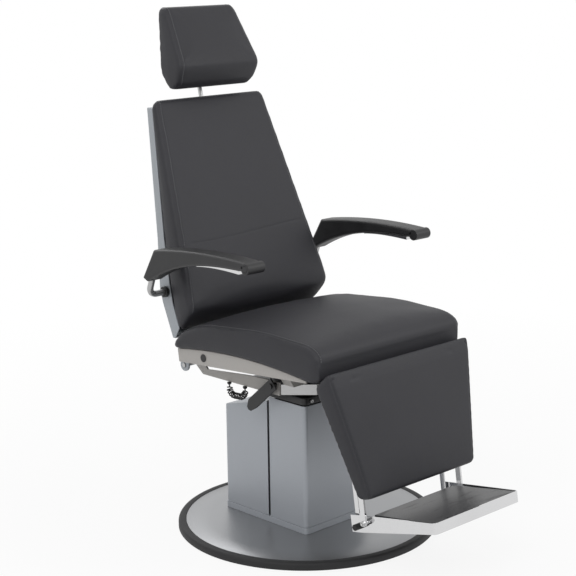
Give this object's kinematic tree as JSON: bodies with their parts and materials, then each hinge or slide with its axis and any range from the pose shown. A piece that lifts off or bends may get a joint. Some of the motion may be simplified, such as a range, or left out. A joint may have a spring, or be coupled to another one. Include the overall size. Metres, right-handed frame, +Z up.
{
  "type": "ear nose and throat examination chair",
  "caption": "Clinic examination chair with padded seat, reclining back, sliding headrest, hinged armrests and leg rest with footplate, turning on a lifting column over a round base.",
  "frame": {"origin": "on the floor, at the middle of the round base's underside, on the axis that the chair lifts along and turns about", "axes": "+Z up; the chair faces -Y; -X is the side of the brake lever and the curly cord"},
  "size_m": [0.7, 1.0399, 1.371],
  "materials": {
    "hide": "dark charcoal leatherette over foam, fine grain",
    "black_plastic": "satin black moulding",
    "rubber": "matte black",
    "silver_paint": "satin silver-grey paint",
    "pale_paint": "satin pale blue-grey paint",
    "frame_paint": "satin warm light grey paint",
    "steel": "brushed",
    "chrome": "polished"
  },
  "bodies": {
    "base": {"base_plate": "silver_paint", "base_rim": "rubber", "column_plinth": "silver_paint", "front_cover": "silver_paint", "rear_cover": "silver_paint", "rear_lid": "silver_paint", "slot_liner_left": "black_plastic", "slot_liner_right": "black_plastic", "column_guide": "steel", "column_collar": "black_plastic", "collar_bolt": "steel", "mains_inlet": "black_plastic"},
    "lift_mast": {"mast": "steel"},
    "carrier": {"carrier_hub": "frame_paint", "carrier_plate_left": "frame_paint", "carrier_plate_right": "frame_paint", "back_pin_left": "steel", "back_pin_right": "steel", "drive_housing": "black_plastic", "gusset_left": "frame_paint", "gusset_right": "frame_paint", "seat_pan": "black_plastic", "seat_rail_left": "frame_paint", "seat_rail_right": "frame_paint", "rail_plug_left": "black_plastic", "rail_plug_right": "black_plastic", "seat_cushion": "hide", "lever_pin": "steel", "leg_lug_left": "frame_paint", "leg_lug_right": "frame_paint", "cord_gland_rear": "black_plastic", "cord_gland_front": "black_plastic", "curly_cord": "black_plastic"},
    "brake_lever": {"swivel_lever": "black_plastic"},
    "back": {"back_shell": "pale_paint", "back_cushion": "hide", "back_strap_left": "pale_paint", "back_strap_right": "pale_paint", "head_guide": "black_plastic", "arm_socket_left": "black_plastic", "arm_socket_right": "black_plastic"},
    "head_slider": {"head_post": "steel"},
    "head": {"head_plate": "black_plastic", "head_cushion": "hide"},
    "armrest_left": {"arm_tube_left": "chrome", "arm_pad_left": "black_plastic", "arm_strip_left": "chrome"},
    "armrest_right": {"arm_tube_right": "chrome", "arm_pad_right": "black_plastic", "arm_strip_right": "chrome"},
    "leg_rest": {"leg_pan": "black_plastic", "leg_cushion": "hide", "leg_bar_left": "chrome", "leg_bar_right": "chrome"},
    "foot_links": {"link_bar_left": "chrome", "link_bar_right": "chrome"},
    "footplate": {"foot_frame": "chrome", "foot_tread": "rubber", "foot_stop_left": "rubber", "foot_stop_right": "rubber"}
  },
  "joints": [
    {"name": "lift", "type": "slide", "parent": "base", "child": "lift_mast", "axis": [0, 0, 1], "range_m": [0, 0.2]},
    {"name": "swivel", "type": "hinge", "parent": "lift_mast", "child": "carrier", "pos_m": [0, 0, 0.398], "axis": [0, 0, 1], "range_deg": [-175, 175]},
    {"name": "brake", "type": "hinge", "parent": "carrier", "child": "brake_lever", "pos_m": [-0.1655, -0.0415, 0.4235], "axis": [1, 0, 0], "range_deg": [0, 20], "stiffness_Nm_per_rad": 3, "springref_deg": -5.73},
    {"name": "recline", "type": "hinge", "parent": "carrier", "child": "back", "pos_m": [0, 0.262, 0.43], "axis": [-1, 0, 0], "range_deg": [0, 70]},
    {"name": "head_slide", "type": "slide", "parent": "back", "child": "head_slider", "axis": [0, 0.2334, 0.9724], "range_m": [-0.02, 0.1]},
    {"name": "head_tilt", "type": "hinge", "parent": "head_slider", "child": "head", "pos_m": [0, 0.4316, 1.262], "axis": [-1, 0, 0], "range_deg": [0, 30]},
    {"name": "arm_left", "type": "hinge", "parent": "back", "child": "armrest_left", "pos_m": [-0.26, 0.276, 0.638], "axis": [-1, 0, 0], "range_deg": [0, 100]},
    {"name": "arm_right", "type": "hinge", "parent": "back", "child": "armrest_right", "pos_m": [0.26, 0.276, 0.638], "axis": [-1, 0, 0], "range_deg": [0, 100]},
    {"name": "leg", "type": "hinge", "parent": "carrier", "child": "leg_rest", "pos_m": [0, -0.334, 0.508], "axis": [-1, 0, 0], "range_deg": [0, 70]},
    {"name": "foot", "type": "hinge", "parent": "leg_rest", "child": "footplate", "pos_m": [0, -0.386, 0.146], "axis": [-1, 0, 0], "range_deg": [-70, 0]},
    {"name": "foot_link", "type": "hinge", "parent": "carrier", "child": "foot_links", "pos_m": [0, -0.298, 0.484], "axis": [-1, 0, 0], "range_deg": [0, 70]}
  ],
  "couplings": [
    {"joint": "foot", "follows": "leg", "ratio": -1},
    {"joint": "foot_link", "follows": "leg", "ratio": 1}
  ]
}
